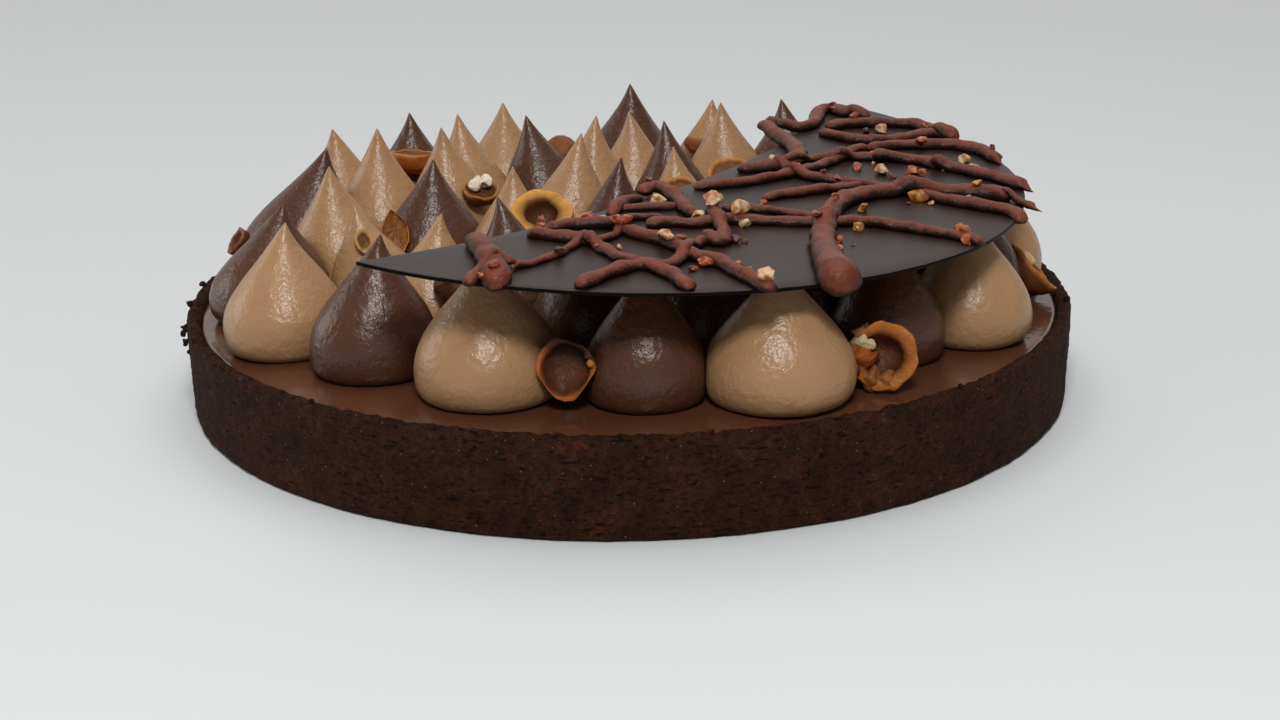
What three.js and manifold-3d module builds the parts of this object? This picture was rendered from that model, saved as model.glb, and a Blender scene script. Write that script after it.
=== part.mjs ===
// A round chocolate tart: a straight-sided cocoa crust filled with ganache, its top covered with
// piped cream kisses in two creams, roasted hazelnut halves set between them, and a thin crescent
// of dark chocolate, piped with strands of chocolate and strewn with nut crumbs, laid over them.
// Millimetres, +Z up. The origin is the centre of the tart's underside.

import * as THREE from "three"
import { mergeVertices } from "three/addons/utils/BufferGeometryUtils.js"
import Module from "manifold-3d"

const wasm = await Module()
wasm.setup()

// ---- driving dimensions ----

const FOOT_RADIUS = 100 // a 20 cm tart ring
const RIM_RADIUS = 100.6
const WALL_HEIGHT = 21.6
const WALL_THICKNESS = 3.2
const FLOOR_THICKNESS = 4
const CRAG_DEPTH = 0.5 // how far the baked wall is uneven
const RIM_UNEVENNESS = 0.45
const AROUND_CRUST = 48

const CLEARANCE = 0.3 // between pieces that touch
const SMALLEST_EDGE = 0.03 // joins and cuts drop edges shorter than this
const GANACHE_LEVEL = 20.4
const GANACHE_SAG = 0.5 // the level drops this much towards the rim

const CRESCENT_RADIUS = 91.5
const CRESCENT_CENTRE = [-2.5, -2.5]
const CRESCENT_TIP_ANGLES = [-123, 53] // degrees round that centre
const CRESCENT_HOLLOW = 17 // depth of the inner arc, bulging towards the outer one
const CRESCENT_THICKNESS = 0.8
const CRESCENT_TOP = 50.5 // above the tart's centre
const CRESCENT_SLOPE = [-0.047, 0.025] // rise for each millimetre along X and Y

const STRAND_SIDES = 5
const STRAND_STEP = 8
const STRAND_SLUMP = 0.72 // height of a strand as a share of its width
const STRAND_SINK = 0.35 // share of its height that a strand settles into the plate
const CRUMB_SINK = 0.15 // share of its size that a nut crumb settles into the chocolate

// ---- the piping plan ----

// Height share and radius share of a kiss: a round foot, a full belly, then a drawn-out point.
const KISS_PROFILE = [[0, 0.9], [0.16, 1], [0.4, 0.88], [0.62, 0.56], [0.81, 0.26]]
const KISS_SIDES = 12
const LEAN_POWER = 1.6 // the lean grows towards the tip

// One row for each kiss: x, y, radius, height, and how far its tip leans along X.
const PRALINE_KISSES = [
  // outer ring
  [-73.5, -37, 13.6, 27.9, 0.7],
  [-28, -70, 15.2, 30, 0],
  [30, -75, 15.2, 29, 0],
  [73.5, -36, 13.5, 27.5, 0],
  [83, 7, 13.5, 28, 0],
  [63, 51, 13, 28, 0],
  [21, 79, 12, 29.3, 1.1],
  [-32, 75, 13, 30, -0.2],
  [-71, 44, 13, 30.6, -0.7],
  // middle ring
  [-66, 2, 13, 30.9, -2.2],
  [-59, 28, 13, 34, -0.7],
  [-39, 54, 12, 31.6, -3.4],
  [2, 58, 12, 30.8, -0.9],
  [26, 57, 13, 33, -2.5],
  [52, -6, 12.5, 28, 0],
  [-43, -31, 12, 27.9, 3],
  [-55, -14, 11, 25.6, -6],
  // inner ring
  [-43, 35, 12, 32.5, -1.8],
  [-9, 42, 12, 33.1, 1.1],
  [-15, 22, 12, 33.2, 4.3],
  [-26, 0, 12.5, 30.6, 0.2],
  [14, 15, 12, 31.3, -3.6],
  [-2, -20, 11.5, 25, 0],
]
const COCOA_KISSES = [
  // outer ring
  [-80.8, -13, 14, 26, 4.2],
  [-53, -54, 13.2, 29.6, 2.3],
  [3.5, -75, 12.2, 29, 0],
  [54, -49, 12.4, 28, 0],
  [77, -13, 11.5, 28, 0],
  [75, 31, 13, 28, 0],
  [42, 70, 12.5, 30.8, -1.8],
  [0, 82, 14, 33, 1.4],
  [-55, 61, 13, 30.6, 0.4],
  [-79, 20, 15.1, 31.1, 8.6],
  // middle ring
  [-20, 60, 12, 29.7, -5.8],
  [-9, -46, 12, 29, 0],
  [15, -48, 11.5, 29, 0],
  [37, -38, 12, 28, 0],
  [38, 20, 12.5, 28, 0],
  // inner ring
  [12, 36, 12, 32.8, -2.9],
  [-46, 9, 13.5, 30.5, 1.3],
  [-24, -24, 12, 29.4, -3.5],
  [-4, 5, 11.5, 31.2, 2.5],
  [22, -20, 12, 29, 0],
]

// Hazelnut halves: where the middle of the cut face is, which way that face looks, the nut's
// radius, how much of its depth is hollow, and its width and length as shares of a round nut's.
const HAZELNUTS = [
  { at: [-12.2, -82.3, 29.4], looks: [-0.1, -1, 0.15], radius: 6.1, hollow: 0.5, oval: [0.95, 1] },
  { at: [50.7, -72.6, 27.9], looks: [-0.15, -1, 0.2], radius: 7, hollow: 0.5, oval: [0.97, 1.03] },
  { at: [92, -9, 27.6], looks: [0.76, 0.06, 0.67], radius: 6.6, hollow: 0.35, oval: [0.9, 1.05] },
  { at: [-35.5, -42.3, 34.8], looks: [0.1, 0.9, -0.4], radius: 5.4, hollow: 0.2, oval: [1, 1] },
  { at: [-53.3, -2, 36.6], looks: [0.3, -0.85, 0.4], radius: 5, hollow: 0.05, oval: [0.66, 1.1] },
  { at: [-58, -20, 39.1], looks: [0.3, -0.8, 0.5], radius: 2.5, hollow: 0.2, oval: [0.8, 1.1] },
  { at: [-88.9, -5.5, 35.8], looks: [-0.75, -0.35, 0.55], radius: 3.4, hollow: 0.4, oval: [0.85, 1] },
  { at: [-53.6, 50.8, 42.5], looks: [0.05, 0.1, 1], radius: 5.6, hollow: 0.15, oval: [1, 1] },
  { at: [-35.2, 27.2, 38.9], looks: [0.15, -0.3, 0.93], radius: 4.4, hollow: 0.3, oval: [1, 1] },
  { at: [-19.1, -7.5, 41.7], looks: [0.05, -0.62, 0.78], radius: 7.1, hollow: 0.5, oval: [1, 0.92] },
  { at: [-17.2, 71.5, 36.9], looks: [0, 0.6, -0.8], radius: 5, hollow: 0.2, oval: [1, 1] },
  { at: [25.2, 42.8, 38.6], looks: [-0.1, -0.35, 0.93], radius: 5.4, hollow: 0.15, oval: [1, 1] },
  { at: [18.1, 70.9, 39.9], looks: [0.2, 0.5, 0.8], radius: 3.4, hollow: 0.2, oval: [1, 1] },
  { at: [11.9, 5.3, 42.8], looks: [0, -0.45, 0.9], radius: 5.2, hollow: 0.15, oval: [1, 1] },
]
const NUT_SIDES = 8

// Strands piped on the crescent, in the order they are laid: the width and the route in plan.
const STRANDS = [
  { width: 3, route: [[15, -19], [28, -12.5], [45, 4], [57, 21]] },
  { width: 4, route: [[33.5, 41], [36, 30], [39.5, 19], [39, 7], [33, 0], [25, -3]] },
  { width: 2.8, route: [[36, 2], [44, 9], [63, 11.5]] },
  { width: 2.8, route: [[29.5, -26], [41.5, -19], [52, -14]] },
  { width: 3, route: [[34, 2], [43, -8.5], [62, -17]] },
  { width: 3.4, route: [[57, 11], [68, 9.5], [72, 5]] },
  { width: 3.6, route: [[70, 6], [81, -1.5], [88, -10]] },
  { width: 3.4, route: [[47, 35.5], [55.5, 28], [64, 29.5], [75, 37], [79, 33]] },
  { width: 3.6, route: [[57, 19], [65.5, 24], [75, 25.5], [84, 20.5], [86, 14]] },
  { width: 3.6, route: [[49, 40], [60, 45.5], [70, 46], [79, 31]] },
  { width: 3.6, route: [[34, 41], [42.5, 39], [47.5, 52], [52, 60], [60, 53]] },
  { width: 3.6, route: [[61, -17.5], [70.5, -25], [82, -31.5], [84.5, -36]] },
  { width: 2.6, route: [[20, -35], [27, -35], [40, -41]] },
  { width: 3.2, route: [[4, -50], [14, -48], [29, -45], [49, -43], [63, -49], [73, -55.5]] },
  { width: 4.6, swell: 1.9,
    route: [[84, -21], [73.5, -18], [60, -19], [47.5, -27], [41.5, -45], [39.5, -69], [41, -87]] },
  { width: 2.2, route: [[82, -19.5], [85, -22], [87.5, -26]] },
  { width: 2.6, route: [[-3, -38], [5, -36], [11, -35]] },
  { width: 3, route: [[-3, -42], [-1, -34], [3, -30]] },
  { width: 3.6, route: [[3, -25], [6, -21], [11, -30], [15, -42]] },
  { width: 3.6, route: [[-1, -54], [7, -61], [18, -75], [27.5, -91.5]] },
  { width: 3.6, route: [[-20, -59], [-5, -65]] },
  { width: 2.8, route: [[-8, -63], [-2, -73], [8, -77], [14, -63], [17, -58]] },
  { width: 3.2, route: [[17, -58], [20, -54], [18, -36]] },
  { width: 2.2, route: [[-23, -82], [-13, -71], [-9, -63], [-2, -57], [1, -45], [8, -46]] },
  { width: 3.4, route: [[-9, -93], [-2, -82.5], [3, -78.5]] },
  { width: 3.4, route: [[3, -78.5], [8, -83], [12, -92]] },
  { width: 3.4, route: [[-16, -55], [-4, -51], [0, -53]] },
  { width: 5.2, swell: 1.25, route: [[-30.5, -64.5], [-27, -76], [-24.5, -91.5]] },
  { width: 2.6, route: [[-29.5, -93.5], [-28.5, -86], [-25.5, -80], [-21.5, -81.5]] },
]

// The larger crumbs of chopped hazelnut that stick to the strands: x, y and size.
const CRUMBS = [
  [-8.5, -47, 3.4], [-1.8, -54, 3.2], [8, -64, 3.4], [15.3, -76, 3], [27, -89, 3.4], [18, -37, 4.2],
  [23.6, -44, 4], [15, -42.5, 3.6], [6.5, -32, 2.8], [50.5, -32, 2.8], [63.5, -22.5, 3.4],
  [70, -46.5, 3.2], [69, -51, 2.8], [69.3, -55.2, 2.8], [58, -0.5, 3.2], [65, -1.5, 3.6],
  [58, 15.5, 2.6], [79.5, 4, 3], [78.5, 12, 2.9], [62, 39, 3.2],
]

// ---- shared tools ----

// A repeatable number between 0 and 1 that wanders round the tart; turns sets its fineness.
function wander(angle, turns, height = 0) {
  const slow = Math.sin(angle * turns + 1.3 + height * 0.9)
  const quick = Math.sin(angle * (turns * 2 + 5) + 4.1 - height * 1.7)
  return 0.5 + 0.3 * slow + 0.2 * quick
}

// Numbers between 0 and 1 in a fixed, repeatable order.
function numbersFrom(seed) {
  let state = seed
  return () => {
    state = (state * 1664525 + 1013904223) % 4294967296
    return state / 4294967296
  }
}

// Joins the vertices that share a place and leaves out triangles that have no area.
function weld(geometry) {
  const bare = new THREE.BufferGeometry()
  bare.setAttribute("position", geometry.getAttribute("position").clone())
  if (geometry.index) bare.setIndex(geometry.index.clone())
  const welded = mergeVertices(bare, 1e-3)
  const corners = welded.index.array
  const kept = []
  for (let i = 0; i < corners.length; i += 3) {
    const [a, b, c] = [corners[i], corners[i + 1], corners[i + 2]]
    if (a !== b && b !== c && c !== a) kept.push(a, b, c)
  }
  welded.setIndex(kept)
  return welded
}

function toSolid(geometry) {
  const welded = weld(geometry)
  return new wasm.Manifold(new wasm.Mesh({
    numProp: 3,
    vertProperties: new Float32Array(welded.getAttribute("position").array),
    triVerts: new Uint32Array(welded.index.array),
    tolerance: SMALLEST_EDGE,
  }))
}

function toGeometry(solid) {
  const mesh = solid.getMesh()
  const geometry = new THREE.BufferGeometry()
  geometry.setAttribute("position", new THREE.BufferAttribute(new Float32Array(mesh.vertProperties), 3))
  geometry.setIndex(new THREE.BufferAttribute(new Uint32Array(mesh.triVerts), 1))
  return geometry
}

// Moves every vertex of a geometry by a function of its place.
function reshape(geometry, move) {
  const positions = geometry.getAttribute("position")
  const point = new THREE.Vector3()
  for (let i = 0; i < positions.count; i += 1) {
    point.fromBufferAttribute(positions, i)
    move(point)
    positions.setXYZ(i, point.x, point.y, point.z)
  }
  return geometry
}

// The largest of a solid's separate shells: sealed hollows are filled and loose scraps dropped.
// Welding first parts the shells that only share a vertex.
function largestShell(solid) {
  const shells = toSolid(toGeometry(solid)).decompose()
  return shells.reduce((best, shell) => (shell.volume() > best.volume() ? shell : best))
}

// A profile of [radius, height] pairs turned round the upright axis.
function turned(profile, sides) {
  const points = profile.map(([radius, height]) => new THREE.Vector2(radius, height))
  return new THREE.LatheGeometry(points, sides).rotateX(Math.PI / 2)
}

function named(name, geometry, material) {
  const mesh = new THREE.Mesh(weld(geometry), material)
  mesh.name = name
  return mesh
}

function finish(color, roughness) {
  return new THREE.MeshStandardMaterial({ color, roughness, metalness: 0 })
}

// ---- crust and filling ----

// The baked shell: straight outside, a thin crumbly rim, an even floor.
function crustGeometry() {
  const inner = RIM_RADIUS - WALL_THICKNESS
  const outerAt = (height) => THREE.MathUtils.lerp(FOOT_RADIUS, RIM_RADIUS, height / WALL_HEIGHT)
  const wallRows = [0.9, 7, 14, 20].map((height) => [outerAt(height), height])
  const profile = [
    [0, 0],
    [FOOT_RADIUS - 0.8, 0],
    ...wallRows,
    [RIM_RADIUS - 0.7, WALL_HEIGHT],
    [inner + 0.9, WALL_HEIGHT - 0.2],
    [inner, WALL_HEIGHT - 2.2],
    [inner, FLOOR_THICKNESS],
    [0, FLOOR_THICKNESS],
  ]
  return reshape(turned(profile, AROUND_CRUST), (point) => {
    const radius = Math.hypot(point.x, point.y)
    if (radius < inner + 0.5 || point.z < 0.5) return
    const angle = Math.atan2(point.y, point.x)
    const worn = 1 - (CRAG_DEPTH * wander(angle, 11, point.z)) / radius
    point.x *= worn
    point.y *= worn
    if (point.z > WALL_HEIGHT - 1) point.z += RIM_UNEVENNESS * (wander(angle, 23) - 0.5) * 2
  })
}

// The set ganache, level and smooth, a little lower where it meets the crust.
function ganacheGeometry() {
  const radius = RIM_RADIUS - WALL_THICKNESS - CLEARANCE
  const profile = [
    [0, FLOOR_THICKNESS + CLEARANCE],
    [radius, FLOOR_THICKNESS + CLEARANCE],
    [radius, GANACHE_LEVEL - GANACHE_SAG - 0.6],
    [radius - 1.2, GANACHE_LEVEL - GANACHE_SAG],
    [radius - 7, GANACHE_LEVEL],
    [0, GANACHE_LEVEL],
  ]
  return turned(profile, AROUND_CRUST)
}

// ---- the crescent's plane ----

function crescentTop(x, y) {
  return CRESCENT_TOP + CRESCENT_SLOPE[0] * x + CRESCENT_SLOPE[1] * y
}

function crescentTip(angle) {
  const radians = THREE.MathUtils.degToRad(angle)
  return new THREE.Vector2(
    CRESCENT_CENTRE[0] + CRESCENT_RADIUS * Math.cos(radians),
    CRESCENT_CENTRE[1] + CRESCENT_RADIUS * Math.sin(radians),
  )
}

// The inner arc: its centre and radius follow from the two tips and the depth of the hollow.
function innerArc() {
  const [first, last] = CRESCENT_TIP_ANGLES.map(crescentTip)
  const half = first.distanceTo(last) / 2
  const radius = (half * half + CRESCENT_HOLLOW * CRESCENT_HOLLOW) / (2 * CRESCENT_HOLLOW)
  const along = last.clone().sub(first).normalize()
  const towardsCentre = new THREE.Vector2(-along.y, along.x)
  const middle = first.clone().add(last).multiplyScalar(0.5)
  const centre = middle.addScaledVector(towardsCentre, radius - CRESCENT_HOLLOW)
  return { centre, radius, first, last }
}

const INNER_ARC = innerArc()

function isUnderCrescent(x, y) {
  const inOuter = Math.hypot(x - CRESCENT_CENTRE[0], y - CRESCENT_CENTRE[1]) < CRESCENT_RADIUS
  const outOfInner = Math.hypot(x - INNER_ARC.centre.x, y - INNER_ARC.centre.y) > INNER_ARC.radius - 1
  return inOuter && outOfInner
}

// ---- piped kisses ----

// Two kisses that touch press flat against each other on the plane midway between their bellies.
function pressSideways(point, kiss, neighbours) {
  const [x, y, radius] = kiss
  for (const [otherX, otherY, otherRadius] of neighbours) {
    const distance = Math.hypot(otherX - x, otherY - y)
    const alongX = (otherX - x) / distance
    const alongY = (otherY - y) / distance
    const middle = (distance * distance + radius * radius - otherRadius * otherRadius) / (2 * distance)
    const reach = (point.x - x) * alongX + (point.y - y) * alongY
    const excess = Math.max(0, reach - (middle - CLEARANCE / 2))
    point.x -= excess * alongX
    point.y -= excess * alongY
  }
}

// One kiss, blown up by extra when it is used as a cutter.
function kissGeometry([x, y, radius, height, lean], extra = 0) {
  const rows = KISS_PROFILE.map(([share, width]) => [width * radius + extra, share * height])
  const profile = [[0, 0], ...rows, [0, height + extra]]
  const foot = GANACHE_LEVEL + CLEARANCE
  return reshape(turned(profile, KISS_SIDES), (point) => {
    point.x += x + lean * THREE.MathUtils.clamp(point.z / height, 0, 1) ** LEAN_POWER
    point.y += y
    point.z += foot
  })
}

const ALL_KISSES = [...PRALINE_KISSES, ...COCOA_KISSES]

function neighboursOf(kiss) {
  const touches = (other) => Math.hypot(other[0] - kiss[0], other[1] - kiss[1]) < kiss[2] + other[2] + 1
  return ALL_KISSES.filter((other) => other !== kiss && touches(other))
}

// A finished kiss: pressed by its neighbours, and flattened where the crescent rests on it.
function pressedKissGeometry(kiss) {
  const neighbours = neighboursOf(kiss)
  const covered = isUnderCrescent(kiss[0] + kiss[4], kiss[1])
  return reshape(kissGeometry(kiss), (point) => {
    for (let pass = 0; pass < 3; pass += 1) pressSideways(point, kiss, neighbours)
    const ceiling = crescentTop(point.x, point.y) - CRESCENT_THICKNESS - CLEARANCE
    if (covered) point.z = Math.min(point.z, ceiling)
  })
}

// ---- hazelnut halves ----

// A half nut, turned so that its open face looks the right way and its length points upwards.
function hazelnutGeometry({ at, looks, radius, hollow, oval }) {
  const depth = radius * 0.9
  const profile = [
    [0, -depth],
    [radius * 0.62, -depth * 0.76],
    [radius * 0.95, -depth * 0.3],
    [radius, 0],
    [radius * 0.62, radius * 0.02],
    [radius * 0.42, -depth * hollow * 0.75],
    [0, -depth * hollow],
  ]
  const ahead = new THREE.Vector3(...looks).normalize()
  const sideways = new THREE.Vector3(0, 0, 1).cross(ahead).normalize()
  const upwards = new THREE.Vector3().crossVectors(ahead, sideways)
  const turn = new THREE.Matrix4().makeBasis(sideways, upwards, ahead)
  return turned(profile, NUT_SIDES).scale(...oval, 1).applyMatrix4(turn).translate(...at)
}

// Cuts a nut clear of the kisses that it is pressed into, and of the ganache.
function settledHazelnut(nut) {
  const near = ALL_KISSES.filter(([x, y, radius]) => (
    Math.hypot(nut.at[0] - x, nut.at[1] - y) < radius + nut.radius * 1.6
  ))
  let solid = toSolid(hazelnutGeometry(nut))
  for (const kiss of near) solid = solid.subtract(toSolid(kissGeometry(kiss, CLEARANCE)))
  return toGeometry(solid)
}

// ---- crescent with its strands and crumbs ----

function crescentPlate() {
  const [firstAngle, lastAngle] = CRESCENT_TIP_ANGLES.map(THREE.MathUtils.degToRad)
  const { centre, radius, first, last } = INNER_ARC
  const shape = new THREE.Shape()
  shape.absarc(...CRESCENT_CENTRE, CRESCENT_RADIUS, firstAngle, lastAngle, false)
  const from = Math.atan2(last.y - centre.y, last.x - centre.x)
  const to = Math.atan2(first.y - centre.y, first.x - centre.x)
  shape.absarc(centre.x, centre.y, radius, from, to, true)
  const plate = new THREE.ExtrudeGeometry(shape, {
    depth: CRESCENT_THICKNESS,
    bevelEnabled: false,
    curveSegments: 20,
  })
  return reshape(plate, (point) => {
    point.z += crescentTop(point.x, point.y) - CRESCENT_THICKNESS
  })
}

// The middle line of a strand: it lies on the plate and rises over the strands laid before it.
function strandLine({ width, route }, laid) {
  const radius = width / 2
  const marks = route.map(([x, y]) => new THREE.Vector3(x, y, 0))
  const plan = new THREE.CatmullRomCurve3(marks, false, "centripetal")
  const steps = Math.max(2, Math.round(plan.getLength() / STRAND_STEP))
  const points = plan.getSpacedPoints(steps)
  for (const point of points) {
    let lift = 0
    for (const below of laid) {
      const share = Math.hypot(point.x - below.x, point.y - below.y) / (radius + below.radius)
      if (share < 1) lift = Math.max(lift, below.radius * (1 - share * share))
    }
    point.z = crescentTop(point.x, point.y) + radius * STRAND_SLUMP * (1 - STRAND_SINK) + lift
  }
  return new THREE.CatmullRomCurve3(points, false, "centripetal")
}

// A flattened rope along a line, rounded at both ends and swollen towards its last end by swell.
function strandGeometry(line, width, swell) {
  const radius = width / 2
  const length = line.getLength()
  const steps = Math.max(2, Math.round(length / STRAND_STEP))
  const rows = []
  for (let step = 0; step <= steps; step += 1) {
    const share = step / steps
    const fullness = 1 + (swell - 1) * share ** 6
    const inset = radius * 0.35
    rows.push([radius * fullness, THREE.MathUtils.lerp(inset, length - inset, share)])
  }
  const ends = [[radius * 0.6, 0], [radius * swell * 0.7, length]]
  const profile = [[0, 0], ends[0], ...rows, ends[1], [0, length]]
  const point = new THREE.Vector3()
  const upwards = new THREE.Vector3(0, 0, 1)
  return reshape(turned(profile, STRAND_SIDES), (local) => {
    const share = THREE.MathUtils.clamp(local.z / length, 0, 1)
    const ahead = line.getTangentAt(share)
    const sideways = new THREE.Vector3().crossVectors(upwards, ahead).normalize()
    const over = new THREE.Vector3().crossVectors(ahead, sideways)
    line.getPointAt(share, point)
    point.addScaledVector(sideways, local.x).addScaledVector(over, local.y * STRAND_SLUMP)
    local.copy(point)
  })
}

// The height of the highest chocolate at a place in plan: the plate, or a strand laid on it.
function highestAt(x, y, laid) {
  let height = crescentTop(x, y)
  for (const { x: nearX, y: nearY, z, radius } of laid) {
    const share = Math.hypot(x - nearX, y - nearY) / radius
    if (share < 1) height = Math.max(height, z + radius * STRAND_SLUMP * Math.sqrt(1 - share * share))
  }
  return height
}

// A broken lump of hazelnut that rests on the highest chocolate under it.
function crumbGeometry([x, y, size], laid, random) {
  const tall = size * 0.8
  const crumb = new THREE.IcosahedronGeometry(0.5, 0)
  crumb.scale(size * 1.2, size * (0.85 + 0.3 * random()), tall)
  crumb.rotateZ(random() * Math.PI)
  return crumb.translate(x, y, highestAt(x, y, laid) + tall * (0.5 - CRUMB_SINK))
}

function crescentGeometry() {
  const random = numbersFrom(7)
  const laid = []
  let solid = toSolid(crescentPlate())
  for (const strand of STRANDS) {
    const line = strandLine(strand, laid)
    solid = solid.add(toSolid(strandGeometry(line, strand.width, strand.swell ?? 1)))
    const spacing = line.getSpacedPoints(Math.ceil(line.getLength()))
    laid.push(...spacing.map(({ x, y, z }) => ({ x, y, z, radius: strand.width / 2 })))
  }
  for (const crumb of CRUMBS) solid = solid.add(toSolid(crumbGeometry(crumb, laid, random)))
  return toGeometry(largestShell(solid))
}

// ---- the tart ----

const crust = finish("#3b2620", 0.9)
const ganache = finish("#5a3a2c", 0.5)
const pralineCream = finish("#b8957a", 0.45)
const cocoaCream = finish("#5b3e35", 0.45)
const roastedNut = finish("#a8652c", 0.6)
const darkChocolate = finish("#43302d", 0.4)

const group = new THREE.Group()
group.add(named("crust_shell", crustGeometry(), crust))
group.add(named("ganache", ganacheGeometry(), ganache))

const twoDigits = (index) => String(index + 1).padStart(2, "0")
PRALINE_KISSES.forEach((kiss, index) => {
  group.add(named(`kiss_praline_${twoDigits(index)}`, pressedKissGeometry(kiss), pralineCream))
})
COCOA_KISSES.forEach((kiss, index) => {
  group.add(named(`kiss_cocoa_${twoDigits(index)}`, pressedKissGeometry(kiss), cocoaCream))
})
HAZELNUTS.forEach((nut, index) => {
  group.add(named(`hazelnut_${twoDigits(index)}`, settledHazelnut(nut), roastedNut))
})
group.add(named("chocolate_crescent", crescentGeometry(), darkChocolate))

export default group
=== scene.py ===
# A round chocolate tart: a straight cocoa crust filled with ganache, covered with piped cream
# peaks in two creams and hazelnut halves, under a thin crescent of chocolate with piped strands.

import math
import random

import bmesh
import bpy
from mathutils import Matrix, Vector, noise
from mathutils.bvhtree import BVHTree
from mathutils.geometry import interpolate_bezier


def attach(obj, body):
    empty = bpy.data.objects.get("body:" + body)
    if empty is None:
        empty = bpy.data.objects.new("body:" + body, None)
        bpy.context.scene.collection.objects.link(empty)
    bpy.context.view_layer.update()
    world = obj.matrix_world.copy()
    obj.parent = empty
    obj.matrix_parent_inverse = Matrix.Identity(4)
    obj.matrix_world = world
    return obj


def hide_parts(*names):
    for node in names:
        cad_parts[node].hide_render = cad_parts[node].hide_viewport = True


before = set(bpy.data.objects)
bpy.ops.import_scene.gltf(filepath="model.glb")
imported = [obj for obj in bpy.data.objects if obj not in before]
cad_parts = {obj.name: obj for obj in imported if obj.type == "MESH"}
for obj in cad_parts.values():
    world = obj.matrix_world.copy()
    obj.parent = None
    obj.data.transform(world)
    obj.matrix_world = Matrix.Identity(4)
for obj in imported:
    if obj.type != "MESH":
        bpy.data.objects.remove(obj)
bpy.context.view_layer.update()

noise.seed_set(1)  # without it, vector noise starts from the clock

MM = 0.001  # sizes below are in millimetres and Blender works in metres
METRE = 1000  # so METRE / 7 is the scale of a pattern about 7 mm across
SHARE, UNDER, OVER = 0, 6, 7  # inputs of a colour mix: the share of the second colour, and the two
MIXED = 2  # its mixed colour

# ---- table, light and camera ----
# The tart stands on a white table top in a bright room. A small soft lamp in front, about 48
# degrees up, makes the highlights on the cream. A pale wall behind and a window behind at the left
# make the chocolate shine, and a wide ceiling and the room fill in the shadows.

CAMERA_PLACE = (0.00237, -0.49407, 0.16616)
CAMERA_LENS, CAMERA_SENSOR = 62.59, 36  # mm
CAMERA_DOWN, CAMERA_ROLL = 18.17, -0.9  # degrees
CAMERA_NEAR = 0.01
ROOM_GLOW = 0.24  # strength of the even light from all sides
TABLE_REACH = 4  # metres from the middle of the table to each side
TABLE_CELLS = 8


def linear(colour):
    """An sRGB hex value as the linear colour that a shader takes."""
    parts = [int(colour[i : i + 2], 16) / 255 for i in (1, 3, 5)]
    return (*[part / 12.92 if part <= 0.04045 else ((part + 0.055) / 1.055) ** 2.4 for part in parts], 1)


def add(material, kind, inputs=None, **settings):
    """A new shader node in a material, with its settings, and each input set to a value or linked.

    A node given as an input is linked by its first output.
    """
    node = material.node_tree.nodes.new("ShaderNode" + kind)
    for setting, value in settings.items():
        setattr(node, setting, value)
    for socket, value in (inputs or {}).items():
        if isinstance(value, bpy.types.Node):
            value = value.outputs[0]
        if isinstance(value, bpy.types.NodeSocket):
            material.node_tree.links.new(value, node.inputs[socket])
        else:
            node.inputs[socket].default_value = value
    return node


def surface(name, **inputs):
    """A new material: its one shader, with plain values on its sockets."""
    material = bpy.data.materials.new(name)
    material.use_nodes = True
    shader = material.node_tree.nodes["Principled BSDF"]
    for socket, value in inputs.items():
        shader.inputs[socket.replace("_", " ")].default_value = value
    return material, shader


def painted(material, shader, **outputs):
    """Links a material's outputs to the shader's sockets of those names."""
    for socket, output in outputs.items():
        material.node_tree.links.new(output, shader.inputs[socket.replace("_", " ")])
    return material


def lamp(name, place, aim, size, watts):
    """A soft rectangular lamp at a place, in metres, that is turned to its aim."""
    data = bpy.data.lights.new(name, "AREA")
    data.shape = "RECTANGLE"
    data.size, data.size_y = size
    data.energy = watts
    made = bpy.data.objects.new(name, data)
    made.location = place
    made.rotation_euler = (Vector(aim) - Vector(place)).to_track_quat("-Z", "Y").to_euler()
    bpy.context.collection.objects.link(made)


lamp("window_above", (0, -0.6, 0.68), (0, 0, 0.03), (0.2, 0.16), 4)
lamp("white_ceiling", (0, 0.35, 1.5), (0, 0, 0), (1.8, 1.6), 12)
lamp("white_wall", (0, 2.2, 0.85), (0, 0, 0.1), (4.4, 1.5), 8.5)
lamp("window_left", (-1.4, 0.45, 0.4), (0, 0, 0.03), (0.8, 0.6), 3.5)
lamp("pale_room_front", (0.3, -1.6, 0.5), (0, 0, 0.03), (1.6, 0.7), 0.5)

room = bpy.data.worlds.new("bright_room")
room.use_nodes = True
glow = room.node_tree.nodes["Background"].inputs
glow["Color"].default_value = linear("#f4efe9")
glow["Strength"].default_value = ROOM_GLOW
bpy.context.scene.world = room
bpy.context.scene.view_settings.view_transform = "Standard"

table_paint, shader = surface("painted_table_top", Roughness=0.75)
place = add(table_paint, "TexCoord").outputs["Object"]
cloud = add(table_paint, "TexNoise", {"Vector": place, "Scale": 3})
tones = {SHARE: cloud, UNDER: linear("#d6d9da"), OVER: linear("#dadddf")}
tone = add(table_paint, "Mix", tones, data_type="RGBA")
painted(table_paint, shader, Base_Color=tone.outputs[MIXED])

bm = bmesh.new()
bmesh.ops.create_grid(bm, x_segments=TABLE_CELLS, y_segments=TABLE_CELLS, size=TABLE_REACH)
table_mesh = bpy.data.meshes.new("table_top")
bm.to_mesh(table_mesh)
bm.free()
table_mesh.materials.append(table_paint)
table_top = bpy.data.objects.new("table_top", table_mesh)
bpy.context.collection.objects.link(table_top)

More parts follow.
